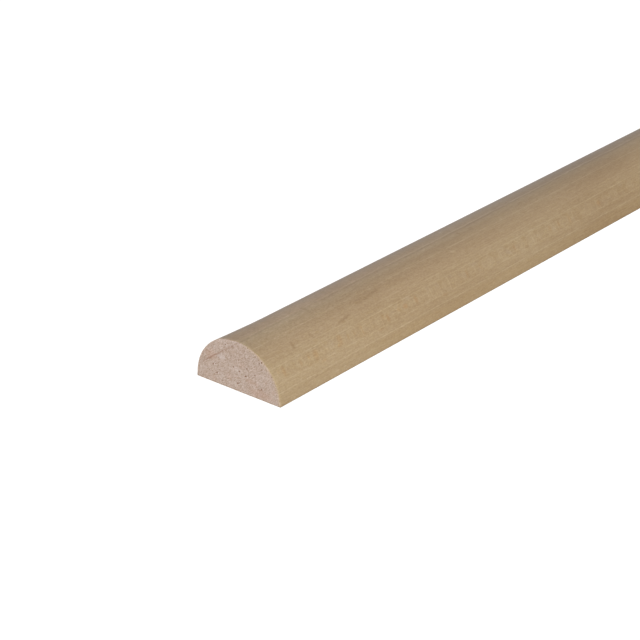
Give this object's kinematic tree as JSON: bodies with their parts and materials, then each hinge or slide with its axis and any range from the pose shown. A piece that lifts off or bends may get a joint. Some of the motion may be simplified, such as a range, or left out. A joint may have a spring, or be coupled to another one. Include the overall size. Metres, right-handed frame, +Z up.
{
  "type": "half round moulding",
  "caption": "Straight length of planed pale hardwood trim with a half round section: flat back, semicircular face and square sawn ends.",
  "frame": {"origin": "middle of the flat back, halfway along the piece", "axes": "+X along the grain, away from the end that the picture shows; +Y across the flat back; +Z up from the back to the crown of the round face"},
  "size_m": [0.9, 0.025, 0.0125],
  "materials": {
    "planed_hardwood": "planed, unfinished, with rough sawn ends"
  },
  "bodies": {
    "root": {"half_round_moulding": "planed_hardwood"}
  },
  "joints": []
}
